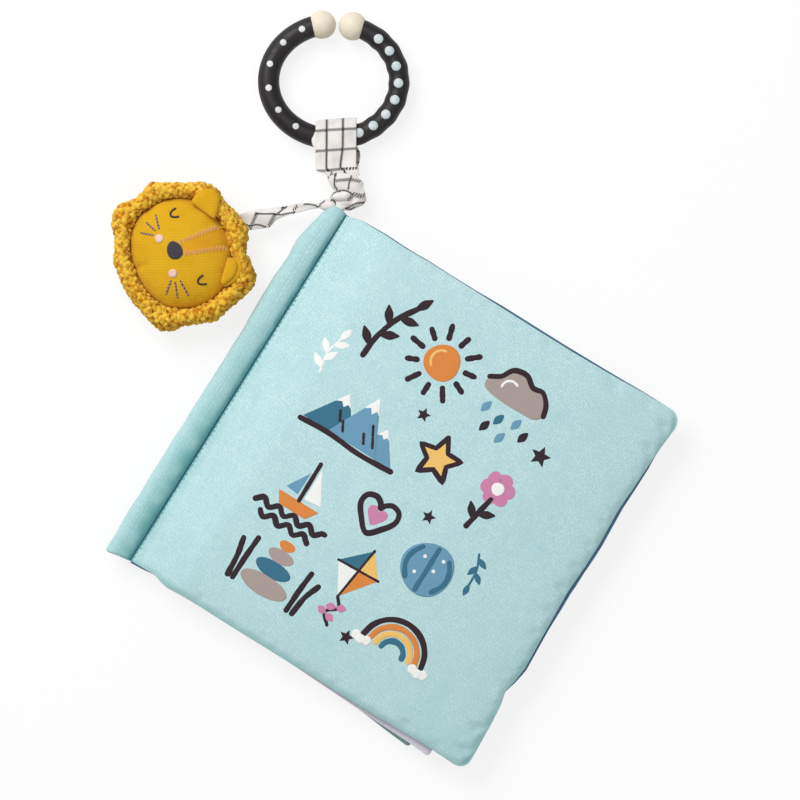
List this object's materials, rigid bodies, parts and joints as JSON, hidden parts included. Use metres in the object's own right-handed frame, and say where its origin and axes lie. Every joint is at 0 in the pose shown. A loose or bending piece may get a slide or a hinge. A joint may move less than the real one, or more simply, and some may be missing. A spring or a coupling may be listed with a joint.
{
  "type": "crinkle cloth book",
  "caption": "Soft square cloth book of padded leaves sewn at a rolled spine, with an open link ring and a stuffed lion head on short cloth straps.",
  "frame": {"origin": "on the flat underside of the back cover, in the middle of the book's footprint from the spine's edge to the fore-edge", "axes": "+X from the spine to the fore-edge, +Y up along the spine towards the strap knot, +Z out of the front cover"},
  "size_m": [0.2346, 0.2383, 0.022],
  "materials": {
    "aqua_cloth": "brushed cotton",
    "blue_cloth": "brushed cotton",
    "lilac_cloth": "brushed cotton",
    "teal_cloth": "brushed cotton",
    "wadding": "loose polyester wadding",
    "crinkle_film": "thin film",
    "seam_thread": "sewing thread",
    "checked_tape": "printed cotton tape",
    "ring_plastic": "smooth moulded",
    "ball_plastic": "smooth moulded",
    "mustard_cloth": "brushed cotton",
    "mane_boucle": "curly boucle"
  },
  "bodies": {
    "book": {"back_cover_lining": "blue_cloth", "back_cover_cloth": "aqua_cloth", "back_cover_wadding": "wadding", "back_cover_crinkle_film": "crinkle_film", "spine_cloth": "aqua_cloth", "spine_lining": "blue_cloth", "spine_page_cloth": "lilac_cloth", "spine_page_lining": "teal_cloth", "spine_wadding": "wadding", "seam_thread_upper": "seam_thread", "seam_thread_lower": "seam_thread", "strap_knot": "checked_tape"},
    "rear_page": {"rear_page_lining": "teal_cloth", "rear_page_cloth": "lilac_cloth", "rear_page_wadding": "wadding", "rear_page_crinkle_film": "crinkle_film"},
    "front_page": {"front_page_cloth": "lilac_cloth", "front_page_lining": "teal_cloth", "front_page_wadding": "wadding", "front_page_crinkle_film": "crinkle_film"},
    "front_cover": {"front_cover_cloth": "aqua_cloth", "front_cover_lining": "blue_cloth", "front_cover_wadding": "wadding", "front_cover_crinkle_film": "crinkle_film"},
    "ring_strap": {"ring_strap_loop": "checked_tape"},
    "link_ring": {"ring_rod": "ring_plastic", "left_ball_tip": "ball_plastic", "right_ball_tip": "ball_plastic"},
    "lion_strap": {"lion_strap": "checked_tape"},
    "lion_head": {"lion_face_cloth": "mustard_cloth", "lion_back_cloth": "mustard_cloth", "lion_stuffing": "wadding", "lion_mane": "mane_boucle", "lion_left_ear": "mustard_cloth", "lion_right_ear": "mustard_cloth"}
  },
  "joints": [
    {"name": "rear_page_turn", "type": "hinge", "parent": "book", "child": "rear_page", "pos_m": [-0.07205, 0, 0.0109], "axis": [0, -1, 0], "range_deg": [0, 30]},
    {"name": "front_page_turn", "type": "hinge", "parent": "rear_page", "child": "front_page", "pos_m": [-0.07205, 0, 0.0109], "axis": [0, -1, 0], "range_deg": [0, 30]},
    {"name": "front_cover_turn", "type": "hinge", "parent": "front_page", "child": "front_cover", "pos_m": [-0.07205, 0, 0.0109], "axis": [0, -1, 0], "range_deg": [0, 80]},
    {"name": "ring_strap_swing", "type": "hinge", "parent": "book", "child": "ring_strap", "pos_m": [-0.08215, 0.09263, 0.0104], "axis": [-0.8049, -0.5934, 0], "range_deg": [-135, 45]},
    {"name": "link_ring_spin", "type": "hinge", "parent": "ring_strap", "child": "link_ring", "pos_m": [-0.10523, 0.12394, 0.0057], "axis": [0, 0, 1], "range_deg": [-120, 120]},
    {"name": "lion_strap_swing", "type": "hinge", "parent": "book", "child": "lion_strap", "pos_m": [-0.08541, 0.08105, 0.00805], "axis": [0.7627, -0.6468, 0], "range_deg": [-45, 45]},
    {"name": "lion_head_tilt", "type": "hinge", "parent": "lion_strap", "child": "lion_head", "pos_m": [-0.10494, 0.05802, 0.00805], "axis": [-0.8121, 0.5835, 0], "range_deg": [-60, 75]}
  ]
}
